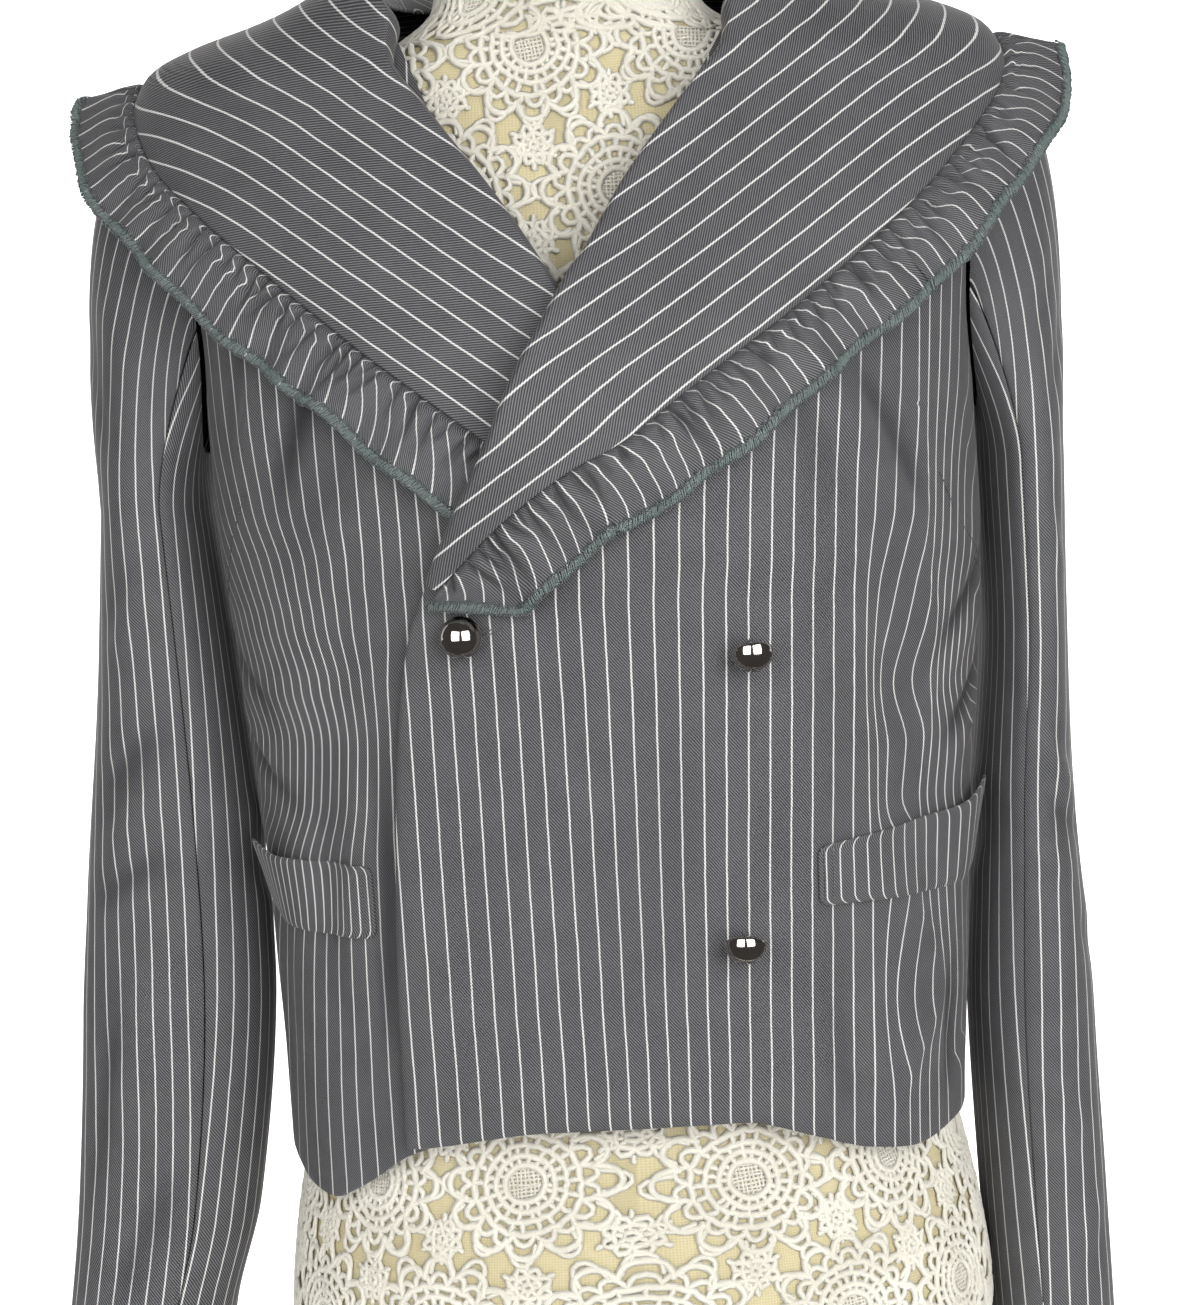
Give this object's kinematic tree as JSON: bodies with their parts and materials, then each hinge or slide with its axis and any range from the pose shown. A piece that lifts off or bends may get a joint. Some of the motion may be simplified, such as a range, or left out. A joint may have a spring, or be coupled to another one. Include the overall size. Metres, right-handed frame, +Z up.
{
  "type": "cropped blazer on dress form",
  "caption": "Cropped double-breasted pinstripe blazer with a wide shawl collar and gathered frill, worn on a limbless torso dress form with a flat foot.",
  "frame": {"origin": "centre of the dress form's flat foot, on the surface that it stands on", "axes": "+Z up, -Y out of the front of the blazer, +X towards the wearer's left"},
  "size_m": [0.5259, 0.2821, 0.78],
  "materials": {
    "suiting": "mid grey twill suiting with a fine off-white pinstripe and a soft sheen",
    "edge_thread": "slate green overlocked edge of dull spun thread",
    "sewing_thread": "dark sewing thread",
    "button_metal": "polished gunmetal",
    "form_linen": "plain beige linen cover",
    "form_lace": "ivory cotton crochet lace"
  },
  "bodies": {
    "root": {"dress_form": "form_linen", "left_front": "suiting", "right_front": "suiting", "back": "suiting", "left_welt": "suiting", "right_welt": "suiting", "left_top_sleeve": "suiting", "left_under_sleeve": "suiting", "right_top_sleeve": "suiting", "right_under_sleeve": "suiting", "left_collar": "suiting", "left_frill": "suiting", "right_collar": "suiting", "right_frill": "suiting", "fastened_button": "button_metal", "upper_button": "button_metal", "lower_button": "button_metal"}
  },
  "joints": []
}
